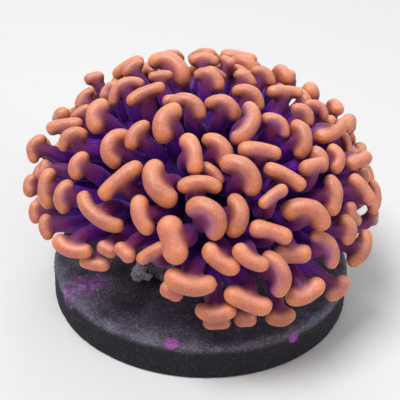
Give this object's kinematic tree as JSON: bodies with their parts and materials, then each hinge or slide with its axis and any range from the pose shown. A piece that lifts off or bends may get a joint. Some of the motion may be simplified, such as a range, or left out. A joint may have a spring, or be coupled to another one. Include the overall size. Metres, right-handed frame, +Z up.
{
  "type": "branching hammer coral",
  "caption": "Domed colony of a branching hammer coral on a round frag disc: short branches end in bouquets of tentacles with bent, hammer-shaped tips.",
  "frame": {"origin": "the middle of the disc's flat underside, on the ground", "axes": "+Z up through the coral; -Y is the front, which the picture shows"},
  "size_m": [0.0879, 0.0888, 0.0616],
  "materials": {
    "disc": "unglazed dark grey ceramic, fine grained and worn, with patches of pink coralline algae",
    "stump": "dull grey-beige coral stone, rough and crusted",
    "flesh": "soft moist flesh: peach-orange mottled tips with pale pink rims, deep violet stalks"
  },
  "bodies": {
    "root": {"disc": "disc", "stump": "stump", "branch_top": "flesh", "branch_upper_1": "flesh", "branch_upper_2": "flesh", "branch_upper_3": "flesh", "branch_upper_4": "flesh", "branch_upper_5": "flesh", "branch_lower_1": "flesh", "branch_lower_2": "flesh", "branch_lower_3": "flesh", "branch_lower_4": "flesh", "branch_lower_5": "flesh", "branch_lower_6": "flesh", "branch_lower_7": "flesh"}
  },
  "joints": []
}
